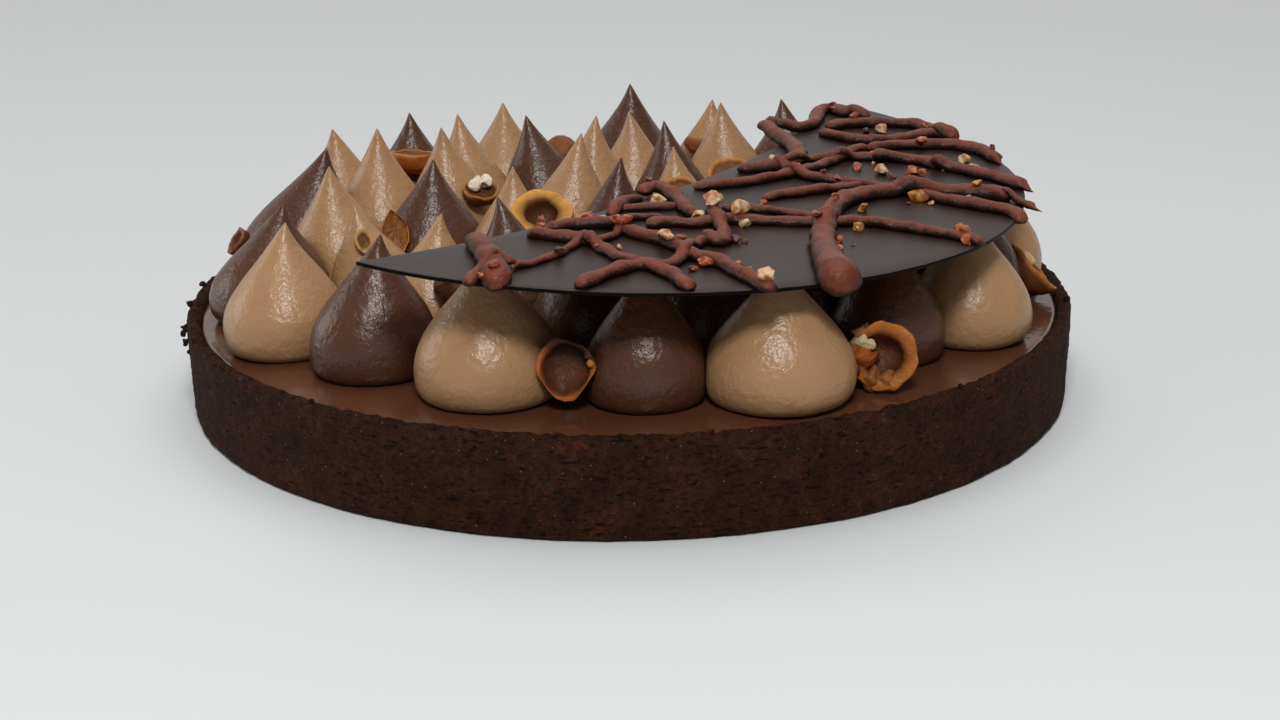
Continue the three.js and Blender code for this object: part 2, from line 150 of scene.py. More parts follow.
camera = bpy.data.objects.new("camera", bpy.data.cameras.new("camera"))
camera.data.lens = CAMERA_LENS
camera.data.sensor_width = CAMERA_SENSOR
camera.data.clip_start = CAMERA_NEAR
camera.location = CAMERA_PLACE
tilt = Matrix.Rotation(math.radians(90 - CAMERA_DOWN), 3, "X")
roll = Matrix.Rotation(math.radians(CAMERA_ROLL), 3, "Z")
camera.rotation_euler = (tilt @ roll).to_euler()
bpy.context.collection.objects.link(camera)
bpy.context.scene.camera = camera

# ---- crust ----
# Cocoa shortcrust baked in a straight ring: dry, sandy and almost black, with small pits and
# cracks, a few reddish crumbs and sparks of sugar. The rim is thin and a little broken.

FOOT_RADIUS = 100
RIM_RADIUS = 100.6
WALL_HEIGHT = 21.6
INNER_RADIUS = 97.4
FLOOR_TOP = 4
WALL_STEPS = 21
WALL_START = 1.0  # height of the wall's lowest step
WALL_STEP = 0.95
CRUST_STEPS, CRUST_SECTORS = 720, 24
# How far the wall strays from its round, and how wide each kind of relief is.
SWELL, SWELL_WIDTH = 0.22, 13
GRAIN, GRAIN_WIDTH = 0.24, 3.4
SAND, SAND_WIDTH = 0.16, 1.1
HOLE, HOLE_WIDTH, HOLE_SHARE = 0.7, 5.2, 0.2
LEVEL = 3  # how many times longer than high grains and holes are
PIT = Vector((0.4, -100.3, 9.3))  # one round bubble in the front of the wall
PIT_RADIUS, PIT_DEPTH = 2.1, 0.9
RIM_BAND = 2.5  # the top of the wall, which is broken and ragged
RIM_FADE = 2  # how far down into the band the raggedness dies away
LOOSE_GRAINS = 3  # in each loose crumb


def turned(profile, steps, sectors=1):
    """A profile of (radius, height) points turned once round the upright axis, sector by sector."""
    bm = bmesh.new()
    points = [bm.verts.new((radius, 0, height)) for radius, height in profile]
    edges = [bm.edges.new(pair) for pair in zip(points, points[1:])]
    round_axis = {"cent": (0, 0, 0), "axis": (0, 0, 1)}
    share = math.tau / sectors
    arc = {"angle": share, "steps": steps // sectors, "use_merge": sectors == 1}
    bmesh.ops.spin(bm, geom=points + edges, **arc, **round_axis)
    if sectors > 1:
        sector = bm.verts[:] + bm.edges[:] + bm.faces[:]
        rest = {"angle": math.tau - share, "steps": sectors - 1, "use_duplicate": True}
        bmesh.ops.spin(bm, geom=sector, **rest, **round_axis)
    bmesh.ops.remove_doubles(bm, verts=bm.verts, dist=1e-4)
    bmesh.ops.recalc_face_normals(bm, faces=bm.faces)
    return bm


def take_in(bm, part):
    """Adds a part to a larger piece."""
    holder = bpy.data.meshes.new("holder")
    part.to_mesh(holder)
    part.free()
    bm.from_mesh(holder)
    bpy.data.meshes.remove(holder)


def finished(name, bm, material, slot, *nodes):
    """The piece as an object in metres, which stands for its solids and moves with the tart."""
    bmesh.ops.scale(bm, vec=(MM, MM, MM), verts=bm.verts)
    for face in bm.faces:
        face.smooth = True
    mesh = bpy.data.meshes.new(name)
    bm.to_mesh(mesh)
    bm.free()
    mesh.materials.append(material)
    piece = bpy.data.objects.new(name, mesh)
    bpy.context.collection.objects.link(piece)
    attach(piece, "root")
    if nodes:
        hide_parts(*nodes)
    return piece


def crumbled(point):
    """Where a point of the crust's wall ends up once its crumb is drawn."""
    outwards = Vector((point.x, point.y, 0)).normalized()
    level = Vector((point.x, point.y, point.z * LEVEL))
    swell = SWELL * noise.noise(point / SWELL_WIDTH)
    grain = GRAIN * noise.noise(level / GRAIN_WIDTH + Vector((7, 0, 0)))
    sand = SAND * noise.noise(point / SAND_WIDTH)
    hole = noise.voronoi(level / HOLE_WIDTH)[0][0]
    moved = point + outwards * (swell + grain + sand - HOLE * max(0, 1 - hole / HOLE_SHARE))
    bubble = (point - PIT).length
    moved -= outwards * PIT_DEPTH * max(0, 1 - (bubble / PIT_RADIUS) ** 2)
    if point.z > WALL_HEIGHT - RIM_BAND:
        rise = min(1, (point.z - WALL_HEIGHT + RIM_BAND) / RIM_FADE)
        moved.z += rise * (0.3 * noise.noise(point / 5) + 0.5 * noise.noise(point / 1.5))
        moved += outwards * rise * (0.45 * noise.noise(point / 2.2 + Vector((0, 0, 9))) - 0.1)
    return moved


flare = RIM_RADIUS - FOOT_RADIUS
foot = [(0, 0), (60, 0), (96, 0), (98.9, 0), (99.7, 0.4)]
wall = []
for step in range(WALL_STEPS):
    wall.append((FOOT_RADIUS + flare * step / WALL_STEPS, WALL_START + WALL_STEP * step))
rim = [
    (RIM_RADIUS - 0.25, 20.9), (RIM_RADIUS - 0.8, WALL_HEIGHT - 0.1), (99.1, WALL_HEIGHT),
    (98.4, WALL_HEIGHT - 0.3), (INNER_RADIUS + 0.2, WALL_HEIGHT - 1.1),
]
inside = [(INNER_RADIUS, 19), (INNER_RADIUS, FLOOR_TOP), (60, FLOOR_TOP), (0, FLOOR_TOP)]
crust = turned([*foot, *wall, *rim, *inside], CRUST_STEPS, CRUST_SECTORS)
for vertex in crust.verts:
    if math.hypot(vertex.co.x, vertex.co.y) > INNER_RADIUS + 0.1 and vertex.co.z > 0.2:
        vertex.co = crumbled(vertex.co)

# Loose crumbs that stay on the rim: angle round the tart, height, distance out and size.
RIM_CRUMBS = [
    (192.2, 19.2, 101.1, 0.8), (193.4, 18, 101, 0.7), (191, 20.2, 100.9, 0.7),
    (195.2, 16.2, 100.9, 0.5), (184, 21.4, 100.3, 0.8), (176, 21.8, 99.6, 0.7),
    (200.5, 21.4, 99.8, 0.7), (214, 21.5, 99.5, 0.6), (231, 21.6, 99.3, 0.6), (248, 21.5, 99.6, 0.5),
    (262, 21.6, 99.2, 0.5), (279, 21.5, 99.5, 0.6), (295, 21.6, 99.3, 0.5), (312, 21.5, 99.5, 0.6),
    (333, 21.6, 99.4, 0.6), (351, 21.6, 99.4, 0.7), (12, 21.6, 99.5, 0.6), (38, 21.7, 99.3, 0.6),
    (67, 21.6, 99.5, 0.7), (95, 21.6, 99.4, 0.6), (121, 21.7, 99.3, 0.7), (148, 21.6, 99.5, 0.6),
]
rim_crumbs = bmesh.new()
for angle, height, distance, size in RIM_CRUMBS:
    turn = math.radians(angle)
    centre = Vector((distance * math.cos(turn), distance * math.sin(turn), height))
    for part in range(LOOSE_GRAINS):
        nudge = noise.noise_vector(centre * 3.7 + Vector((part * 5, 0, 0))) * size * 1.3
        place = Matrix.Translation(centre + nudge)
        radius = size * (1 - 0.2 * part)
        bmesh.ops.create_icosphere(rim_crumbs, subdivisions=2, radius=radius, matrix=place)
for vertex in rim_crumbs.verts:
    vertex.co += noise.noise_vector(vertex.co * 1.3) * 0.4
take_in(crust, rim_crumbs)

# Dry cocoa shortcrust: sandy, matt and dark, its crumb about 1 mm across, with short level cracks
# in painted shade.
shortcrust, shader = surface("baked_cocoa_shortcrust", Roughness=0.85, Specular_IOR_Level=0.14)
place = add(shortcrust, "TexCoord").outputs["Object"]
patches = add(shortcrust, "TexNoise", {"Vector": place, "Scale": METRE / 7, "Detail": 7, "Roughness": 0.75})
tones = add(shortcrust, "ValToRGB", {"Fac": patches})
tones.color_ramp.elements[0].position, tones.color_ramp.elements[0].color = 0.3, linear("#24120a")
tones.color_ramp.elements[1].position, tones.color_ramp.elements[1].color = 0.58, linear("#402213")
tones.color_ramp.elements.new(0.74).color = linear("#642d16")
crumb = add(shortcrust, "TexNoise", {"Vector": place, "Scale": METRE / 1.1, "Detail": 4, "Roughness": 0.8})
spread = {"From Min": 0.35, "From Max": 0.65, "To Min": 0.42, "To Max": 1.5}
shade = add(shortcrust, "MapRange", {"Value": crumb, **spread})
shaded = {SHARE: 1.0, UNDER: tones.outputs["Color"], OVER: shade}
sandy = add(shortcrust, "Mix", shaded, data_type="RGBA", blend_type="MULTIPLY")
level = add(shortcrust, "Mapping", {"Vector": place, "Scale": (1, 1, 3.5)})
seams = add(shortcrust, "TexNoise", {"Vector": level.outputs["Vector"], "Scale": METRE / 2.2, "Detail": 2})
# Painted shade: the cracks are coloured near black, for the shade that falls inside them.
crack = add(shortcrust, "MapRange", {"Value": seams, "From Min": 0.61, "From Max": 0.66})
cut = {SHARE: crack, UNDER: sandy.outputs[MIXED], OVER: linear("#150a05")}
cracks_painted_shade = add(shortcrust, "Mix", cut, data_type="RGBA")
grains = add(shortcrust, "TexVoronoi", {"Vector": place, "Scale": METRE / 0.9})
pick = add(shortcrust, "SeparateColor", {"Color": grains.outputs["Color"]})
sugar = add(shortcrust, "Math", {0: pick.outputs["Red"], 1: 0.94}, operation="GREATER_THAN")
small = add(shortcrust, "Math", {0: grains.outputs["Distance"], 1: 0.19}, operation="LESS_THAN")
spark = add(shortcrust, "Math", {0: sugar, 1: small}, operation="MULTIPLY")
bright = {SHARE: spark, UNDER: cracks_painted_shade.outputs[MIXED], OVER: linear("#7d5e49")}
sugared = add(shortcrust, "Mix", bright, data_type="RGBA")
relief = add(shortcrust, "Bump", {"Height": crumb, "Distance": 0.0017, "Strength": 1.0})
deep = {"Height": crack, "Distance": 0.001, "Strength": 1.0}
open_crack = add(shortcrust, "Bump", {**deep, "Normal": relief}, invert=True)
painted(shortcrust, shader, Base_Color=sugared.outputs[MIXED], Normal=open_crack.outputs["Normal"])

finished("crust", crust, shortcrust, "crust", "crust_shell")

# ---- ganache ----
# Dark chocolate ganache poured into the crust and set: level, smooth and softly shiny, a
# little lower where it meets the rim, with the faint waves of a pour.

GANACHE_TOP = 20.4
GANACHE_STEPS, GANACHE_SECTORS = 256, 8
WAVE, WAVE_WIDTH = 0.12, 9
WAVES_FROM = 19  # only the upper face has waves

side = [(0, 4.3), (97, 4.3), (97.2, 12), (97.2, 19.6), (96.9, 19.85), (96.2, 19.8), (95.3, 19.85)]
dip = [(94, 20), (92, 20.2), (89, 20.35)]
top = [(radius, GANACHE_TOP) for radius in (85, 70, 45, 20, 0)]
ganache = turned([*side, *dip, *top], GANACHE_STEPS, GANACHE_SECTORS)
for vertex in ganache.verts:
    if vertex.co.z > WAVES_FROM:
        vertex.co.z += WAVE * noise.noise(vertex.co / WAVE_WIDTH)

set_ganache, shader = surface("set_dark_ganache", Roughness=0.16, Specular_IOR_Level=0.6)
place = add(set_ganache, "TexCoord").outputs["Object"]
cloud = add(set_ganache, "TexNoise", {"Vector": place, "Scale": METRE / 22, "Detail": 3})
tones = {SHARE: cloud, UNDER: linear("#4e2e1e"), OVER: linear("#603a26")}
tone = add(set_ganache, "Mix", tones, data_type="RGBA")
ripple = add(set_ganache, "TexNoise", {"Vector": place, "Scale": METRE / 3.5, "Detail": 2})
relief = add(set_ganache, "Bump", {"Height": ripple, "Distance": 0.00025, "Strength": 0.5})
painted(set_ganache, shader, Base_Color=tone.outputs[MIXED], Normal=relief.outputs["Normal"])

finished("ganache_filling", ganache, set_ganache, "ganache", "ganache")

# ---- cream peaks ----
# Whipped praline cream and whipped chocolate cream, each piped through a plain round nozzle held
# still and then pulled up: a full belly that tucks in at the foot and a thin point that leans.
# Neighbours press flat against each other, and those under the crescent are flattened by it.

PEAK_PROFILE = [
    (0, 0.8), (0.015, 0.875), (0.045, 0.945), (0.09, 0.985), (0.15, 1), (0.22, 1), (0.29, 0.972),
    (0.36, 0.925), (0.43, 0.85), (0.5, 0.755), (0.57, 0.645), (0.64, 0.525), (0.71, 0.405), (0.78, 0.295),
    (0.84, 0.205), (0.9, 0.125), (0.95, 0.065), (0.985, 0.022),
]
PEAK_STEPS = 40
LEAN_POWER = 1.6
PEAK_SINK = 0.15  # how far a foot settles into the ganache
SEAM_GAP = 0.05  # between each of two peaks and the plane where they press together
SEAM_ROUNDS = 3
OVAL = (0.97, 1.03)
DENT, DENT_WIDTH = 0.3, 8
RIPPLE, RIPPLE_WIDTH = 0.1, 3.2
RIDGE, RIDGE_WIDTH, RIDGE_BREAKS = 0.1, 0.6, 5  # the ring that the nozzle leaves round the belly
RIDGE_PLACE = (0.28, 0.45)  # share of the height
CURL, CURL_FROM = 0.7, 0.78  # how far a point curls over, and from which share of the height

# One row for each peak: x, y, belly radius, height, and how far the point leans along x.
PRALINE_PEAKS = [
    (-73.5, -37, 13.6, 27.9, 0.7), (-28, -70, 15.2, 30, 0), (30, -75, 15.2, 29, 0),
    (73.5, -36, 13.5, 27.5, 0), (83, 7, 13.5, 28, 0), (63, 51, 13, 28, 0), (21, 79, 12, 29.3, 1.1),
    (-32, 75, 13, 30, -0.2), (-71, 44, 13, 30.6, -0.7), (-66, 2, 13, 30.9, -2.2), (-59, 28, 13, 34, -0.7),
    (-39, 54, 12, 31.6, -3.4), (2, 58, 12, 30.8, -0.9), (26, 57, 13, 33, -2.5), (52, -6, 12.5, 28, 0),
    (-43, -31, 12, 27.9, 3), (-55, -14, 11, 25.6, -6), (-43, 35, 12, 32.5, -1.8), (-9, 42, 12, 33.1, 1.1),
    (-15, 22, 12, 33.2, 4.3), (-26, 0, 12.5, 30.6, 0.2), (14, 15, 12, 31.3, -3.6), (-2, -20, 11.5, 25, 0),
]
COCOA_PEAKS = [
    (-80.8, -13, 14, 26, 4.2), (-53, -54, 13.2, 29.6, 2.3), (3.5, -75, 12.2, 29, 0), (54, -49, 12.4, 28, 0),
    (77, -13, 11.5, 28, 0), (75, 31, 13, 28, 0), (42, 70, 12.5, 30.8, -1.8), (0, 82, 14, 33, 1.4),
    (-55, 61, 13, 30.6, 0.4), (-79, 20, 15.1, 31.1, 8.6), (-20, 60, 12, 29.7, -5.8), (-9, -46, 12, 29, 0),
    (15, -48, 11.5, 29, 0), (37, -38, 12, 28, 0), (38, 20, 12.5, 28, 0), (12, 36, 12, 32.8, -2.9),
    (-46, 9, 13.5, 30.5, 1.3), (-24, -24, 12, 29.4, -3.5), (-4, 5, 11.5, 31.2, 2.5), (22, -20, 12, 29, 0),
]
ALL_PEAKS = PRALINE_PEAKS + COCOA_PEAKS

CRESCENT_RADIUS = 91.5
CRESCENT_CENTRE = Vector((-2.5, -2.5))
CRESCENT_TIP_ANGLES = (-123, 53)
CRESCENT_HOLLOW = 17
CRESCENT_THICKNESS = 0.8
PLATE_HEIGHT, PLATE_SLOPE_X, PLATE_SLOPE_Y = 50.5, -0.047, 0.025
PLATE_REST = 0.02  # between the plate and the peaks that it flattens


def crescent_top(x, y):
    """The height of the crescent's upper face, which lies tilted on the peaks."""
    return PLATE_HEIGHT + PLATE_SLOPE_X * x + PLATE_SLOPE_Y * y


TIPS = []
for angle in map(math.radians, CRESCENT_TIP_ANGLES):
    TIPS.append(CRESCENT_CENTRE + CRESCENT_RADIUS * Vector((math.cos(angle), math.sin(angle))))
CHORD = TIPS[1] - TIPS[0]
HOLLOW_RADIUS = ((CHORD.length / 2) ** 2 + CRESCENT_HOLLOW**2) / (2 * CRESCENT_HOLLOW)
ACROSS = Vector((-CHORD.y, CHORD.x)).normalized()
HOLLOW_CENTRE = (TIPS[0] + TIPS[1]) / 2 + ACROSS * (HOLLOW_RADIUS - CRESCENT_HOLLOW)


def clamped(value, most=1):
    """The value, kept between 0 and the most that it may be."""
    return min(most, max(0, value))


def is_covered(x, y):
    """Whether a place in plan is under the crescent."""
    place = Vector((x, y))
    past_hollow = (place - HOLLOW_CENTRE).length > HOLLOW_RADIUS - 1
    return past_hollow and (place - CRESCENT_CENTRE).length < CRESCENT_RADIUS


def pressed(point, peak, neighbours):
    """Moves a point of a peak back to the plane where it and each neighbour press together."""
    x, y, radius = peak[:3]
    for other_x, other_y, other_radius in neighbours:
        apart = math.hypot(other_x - x, other_y - y)
        ahead = Vector(((other_x - x) / apart, (other_y - y) / apart, 0))
        middle = (apart**2 + radius**2 - other_radius**2) / (2 * apart)
        reach = (point.x - x) * ahead.x + (point.y - y) * ahead.y
        point = point - max(0, reach - middle + SEAM_GAP) * ahead
    return point


def piped_peak(peak):
    """One peak, with the small unevenness of piping."""
    x, y, radius, height, lean = peak
    chance = random.Random(f"{x} {y}")
    outline = [(width * radius, share * height) for share, width in PEAK_PROFILE]
    bm = turned([(0, 0), *outline, (0, height)], PEAK_STEPS)
    neighbours = [
        other[:3] for other in ALL_PEAKS
        if other is not peak and math.hypot(other[0] - x, other[1] - y) < radius + other[2] + 1
    ]
    covered = is_covered(x + lean, y)
    oval = chance.uniform(*OVAL)
    ring_height = chance.uniform(*RIDGE_PLACE) * height
    curl = Vector((chance.uniform(-CURL, CURL), chance.uniform(-CURL, CURL), 0))
    foot = Vector((x, y, GANACHE_TOP - PEAK_SINK))
    for vertex in bm.verts:
        local = vertex.co.copy()
        share = clamped(local.z / height)
        outwards = Vector((local.x, local.y, 0))
        around = outwards.normalized() if outwards.length > 0.01 else Vector((0, 0, 0))
        seed = local + foot * 3
        wave = DENT * noise.noise(seed / DENT_WIDTH) + RIPPLE * noise.noise(seed / RIPPLE_WIDTH)
        from_ring = (local.z - ring_height) / RIDGE_WIDTH
        ridge = RIDGE * math.exp(-(from_ring**2)) * (0.5 + noise.noise(seed / RIDGE_BREAKS))
        local += around * (wave + ridge) * (1 - share**3)
        local.x *= oval
        local.y /= oval
        local.x += lean * share**LEAN_POWER
        local += curl * max(0, (share - CURL_FROM) / (1 - CURL_FROM)) ** 2
        point = foot + local
        for _ in range(SEAM_ROUNDS):
            point = pressed(point, peak, neighbours)
        if covered:
            point.z = min(point.z, crescent_top(point.x, point.y) - CRESCENT_THICKNESS - PLATE_REST)
        vertex.co = point
    return bm


def whipped_cream(name, light, dark, painted_pit_shade):
    """Whipped cream, piped and chilled: satin, pebbled at 1.8 mm, with a few burst air bubbles whose pits
    carry painted shade.
    """
    cream, shader = surface(name, Roughness=0.32, Subsurface_Weight=0.12, Subsurface_Scale=0.002)
    place = add(cream, "TexCoord").outputs["Object"]
    cloud = add(cream, "TexNoise", {"Vector": place, "Scale": METRE / 11, "Detail": 4, "Roughness": 0.6})
    tone = add(cream, "Mix", {SHARE: cloud, UNDER: linear(dark), OVER: linear(light)}, data_type="RGBA")
    bubbles = add(cream, "TexVoronoi", {"Vector": place, "Scale": METRE / 4.2})
    pick = add(cream, "SeparateColor", {"Color": bubbles.outputs["Color"]})
    burst = add(cream, "Math", {0: pick.outputs["Red"], 1: 0.86}, operation="GREATER_THAN")
    size = add(cream, "Math", {0: pick.outputs["Green"], 1: 0.11}, operation="MULTIPLY")
    near = add(cream, "Math", {0: bubbles.outputs["Distance"], 1: size}, operation="LESS_THAN")
    open_bubble = add(cream, "Math", {0: burst, 1: near}, operation="MULTIPLY")
    # Painted shade: the pit of each burst bubble takes a darker colour.
    painted_shade_in_pits = {SHARE: open_bubble, UNDER: tone.outputs[MIXED], OVER: linear(painted_pit_shade)}
    pitted = add(cream, "Mix", painted_shade_in_pits, data_type="RGBA")
    pebble = add(cream, "TexNoise", {"Vector": place, "Scale": METRE / 1.8, "Detail": 3, "Roughness": 0.6})
    soft = add(cream, "Bump", {"Height": pebble, "Distance": 0.0006, "Strength": 0.6})
    sunk = {"Height": open_bubble, "Distance": 0.0003, "Strength": 0.6}
    hole = add(cream, "Bump", {**sunk, "Normal": soft}, invert=True)
    return painted(cream, shader, Base_Color=pitted.outputs[MIXED], Normal=hole.outputs["Normal"])


praline_cream = whipped_cream("whipped_praline_cream", "#b18a63", "#a17954", "#6d4c35")
cocoa_cream = whipped_cream("whipped_chocolate_cream", "#5a3622", "#4a2a1a", "#2b180f")

for kind, rows, cream in (("praline", PRALINE_PEAKS, praline_cream), ("cocoa", COCOA_PEAKS, cocoa_cream)):
    for number, peak in enumerate(rows, 1):
        name, node = f"peak_{kind}_{number:02d}", f"kiss_{kind}_{number:02d}"
        piece = finished(name, piped_peak(peak), cream, f"{kind}_cream", node)
        smoother = piece.modifiers.new("smooth", "SUBSURF")
        smoother.levels = smoother.render_levels = 1

# ---- hazelnut halves ----
# Roasted hazelnuts broken in two and pushed into the cream: a thin brown skin outside, a golden
# roasted cut face, and the dark hollow where the two halves met.

NUT_DEPTH = 0.9  # this and the other sizes of a half nut are shares of its radius
NUT_SIDES = 48
DOME_STEPS = 10
DEEP_NUT = 0.3  # a hollow deeper than this is dark almost from its brim
FIBRE, FIBRES = 0.035, 3.5
FLAT_SHARE = 0.85  # how much of what is past a broken side is gone
CHIPS = 6  # broken faces on each lump or crumb
PAINTED_SHADE_TONE = "#1d0f09"  # painted shade: the top of a half that lies in the crescent's shadow
HOLLOW_TONES = ("#4a2413", "#6d4630")  # a hollow below its brim, and in its middle
# Each half: the middle of its cut face, which way that looks, its radius, the share of the radius
# where its hollow starts, how deep that is, the colours of skin and meat, and what is special:
# how narrow and long it is, flat sides broken off (direction and distance), lumps of meat that
# stand up from it (place, size and colour), and where painted shade darkens it (direction and distance).
HAZELNUTS = [
    (
        (-12.2, -82.3, 29.4), (-0.1, -1, 0.15), 6.1, 0.8, 0.5, "#5a2e14", "#b0652c",
        {
            "oval": (0.95, 1.06), "flats": [(0.85, -0.6, 0.82), (-0.8, -0.6, 0.84), (0.33, 0.94, 0.8)],
            "lumps": [(0.82, 0.2, 0.0, 0.14, "#a8682f"), (0.74, 0.44, 0, 0.13, "#4a2814")],
            # painted shade on the top of this half, which lies in the crescent's shadow
            "painted_shade": (0.33, 0.94, 0.15),
        },
    ),
    (
        (50.7, -72.6, 27.9), (-0.15, -1, 0.2), 7, 0.6, 0.5, "#4c2812", "#b06a2c",
        {
            "oval": (0.97, 1.03),
            "flats": [(-0.6, 0.8, 0.92), (-0.9, -0.5, 0.92)],
            "lumps": [
                (-0.66, -0.04, -0.22, 0.42, "#9a541a"), (-0.4, -0.02, -0.26, 0.34, "#8f4d18"),
                (-0.74, 0.34, -0.06, 0.22, "#c4a87c"), (-0.54, 0.38, -0.02, 0.22, "#dcc8a2"),
                (-0.36, 0.32, -0.04, 0.18, "#d8c096"), (-0.58, 0.62, -0.2, 0.34, "#7f5c42"),
                (-0.3, -0.7, -0.24, 0.38, "#8c5630"), (0.1, -0.76, -0.24, 0.36, "#9a5f34"),
                (-0.72, -0.5, -0.2, 0.3, "#4a2c18"),
            ],
        },
    ),
    (
        (92, -9, 27.6), (0.76, 0.06, 0.67), 6.6, 0.8, 0.35, "#5e3313", "#a86a30",
        {"oval": (0.9, 1.05), "lumps": [(-0.3, 0.5, 0, 0.26, "#d8b47e")]},
    ),
    ((-35.5, -42.3, 34.8), (0.1, 0.9, -0.4), 5.4, 0.8, 0.2, "#43240f", "#8a5024", {}),
    (
        (-53.3, -2, 36.6), (0.3, -0.85, 0.4), 5.0, 0.9, 0.02, "#a85f26", "#db8933",
        {"oval": (0.66, 1.1), "flats": [(0.8, 0.6, 0.6), (-0.85, 0.5, 0.52), (-0.6, -0.8, 0.8)]},
    ),
    ((-58, -20, 39.1), (0.3, -0.8, 0.5), 2.5, 0.6, 0.2, "#7d4a22", "#b98d52", {"oval": (0.8, 1.1)}),
    ((-88.9, -5.5, 35.8), (-0.75, -0.35, 0.55), 3.4, 0.72, 0.4, "#55301a", "#875a30", {"oval": (0.85, 1)}),
    ((-53.6, 50.8, 42.5), (0.05, 0.1, 1), 5.6, 0.8, 0.15, "#a85f28", "#b87838", {}),
    (
        (-35.2, 27.2, 38.9), (0.15, -0.3, 0.93), 4.4, 0.8, 0.3, "#6a3817", "#a06a36",
        {
            "lumps": [
                (-0.28, 0.3, 0.12, 0.36, "#eee2cc"), (0.36, 0.34, 0.26, 0.4, "#f1e7d4"),
                (0.02, 0.62, 0.14, 0.3, "#e8d9bd"),
            ],
        },
    ),
    ((-19.1, -7.5, 41.7), (0.05, -0.62, 0.78), 7.1, 0.54, 0.5, "#b8782c", "#cd9240", {"oval": (1, 0.92)}),
    ((-17.2, 71.5, 36.9), (0, 0.6, -0.8), 5, 0.8, 0.2, "#7d4822", "#a06a3a", {}),
    ((25.2, 42.8, 38.6), (-0.1, -0.35, 0.93), 5.4, 0.8, 0.15, "#a0602a", "#bb7c34", {}),
    ((18.1, 70.9, 39.9), (0.2, 0.5, 0.8), 3.4, 0.8, 0.2, "#8c5636", "#a06a3a", {}),
    ((11.9, 5.3, 42.8), (0, -0.45, 0.9), 5.2, 0.8, 0.15, "#a8682c", "#bb7830", {}),
]


def chipped(vertices, radius, chance, least, most):
    """Breaks a lump flat on a few sides, each at a random share of its radius."""
    for _ in range(CHIPS):
        away = Vector((chance.gauss(0, 1), chance.gauss(0, 1), chance.gauss(0, 1))).normalized()
        depth = chance.uniform(least, most) * radius
        for vertex in vertices:
            vertex.co -= away * max(0, vertex.co.dot(away) - depth)


def lump_of_meat(x, y, z, size, colour):
    """A small broken lump in a half nut of radius 1."""
    bm = bmesh.new()
    bmesh.ops.create_icosphere(bm, subdivisions=3, radius=size)
    chipped(bm.verts[:], size, random.Random(f"{x} {y} {size}"), 0.5, 0.8)
    tint = bm.verts.layers.float_color.new("tint")
    for vertex in bm.verts:
        vertex[tint] = linear(colour)
        seed = vertex.co + Vector((x, y, z)) * 5
        grain = noise.noise_vector(seed * 9) * size * 0.12
        vertex.co += noise.noise_vector(seed * 2.4) * size * 0.3 + grain
        vertex.co += Vector((x, y, z))
    return bm


def nut_profile(brim, hollow):
    """The outline that is turned into a half nut: dome, edge of the cut face, and hollow."""
    dome = []
    for step in range(DOME_STEPS + 1):
        angle = step * math.pi / (2 * DOME_STEPS)
        dome.append((math.sin(angle) ** 0.9, -NUT_DEPTH * math.cos(angle)))
    edge = [(0.985, 0.05), (0.94, 0.06), ((0.94 + brim) / 2, 0.03), (brim, 0)]
    bowl = []
    for share in (0.95, 0.84, 0.7, 0.52, 0.34, 0.16, 0):
        bowl.append((brim * share, -0.04 - hollow * NUT_DEPTH * (1 - share**2) ** 0.7))
    return [*dome, *edge, *bowl]


def cut_colour(point, share, brim, hollow, meat):
    """The colour at a point of the cut face: meat, darker towards the brim, and the dark hollow, partly its
    own brown and partly painted shade.
    """
    brim_tone, middle_tone = (Vector(linear(tone)) for tone in HOLLOW_TONES)
    # Painted shade on top of the hollow's own brown: the hollow darkens with depth.
    deep = clamped(-point.z / 0.16) if hollow > DEEP_NUT else clamped(-point.z / 0.6, 0.35)
    darker_towards_hollow = 0.75 * clamped((1 - share) / (1 - brim)) ** 2
    dark = brim_tone.lerp(middle_tone, max(0, 1 - share / brim))
    return Vector(linear(meat)).lerp(brim_tone, darker_towards_hollow).lerp(dark, deep)


def half_nut(at, looks, radius, brim, hollow, skin, meat, special):
    """A half nut that carries its colour at each place: skin, meat, or dark in the hollow, and painted
    shade where its special asks.
    """
    bm = turned(nut_profile(brim, hollow), NUT_SIDES)
    tint = bm.verts.layers.float_color.new("tint")
    wide, long = special.get("oval", (1, 1))
    shade_across, shade_upward, shade_from = special.get("painted_shade", (0, 0, 1))
    place = Vector(at)
    for vertex in bm.verts:
        point = vertex.co.copy()
        share = math.hypot(point.x, point.y)
        on_cut = point.z > -0.02 or (share < brim and point.z > -hollow * NUT_DEPTH - 0.06)
        colour = cut_colour(point, share, brim, hollow, meat) if on_cut else Vector(linear(skin))
        # Painted shade: beyond the given reach in the given direction, the half darkens towards a near
        # black tone.
        painted_shade = clamped((point.x * shade_across + point.y * shade_upward - shade_from) / 0.4, 0.85)
        vertex[tint] = colour.lerp(Vector(linear(PAINTED_SHADE_TONE)), painted_shade)
        if on_cut and 0.08 < share < brim:
            ahead = Vector((point.x / share * FIBRES, point.y / share * FIBRES, share))
            point.z += FIBRE * noise.noise(ahead)
        wrinkles = noise.noise_vector(point * 5 + place) * 0.035
        point += noise.noise_vector(point * 1.7 + place) * 0.1 + wrinkles
        point = Vector((point.x * wide, point.y * long, point.z))
        for across, upward, reach in special.get("flats", ()):
            away = Vector((across, upward, 0)).normalized()
            point -= away * max(0, point.dot(away) - reach) * FLAT_SHARE
        vertex.co = point
    for lump in special.get("lumps", ()):
        take_in(bm, lump_of_meat(*lump))
    turn = Vector(looks).to_track_quat("Z", "Y").to_matrix().to_4x4()
    place_and_size = Matrix.Translation(at) @ turn @ Matrix.Scale(radius, 4)
    bmesh.ops.transform(bm, matrix=place_and_size, verts=bm.verts)
    return bm


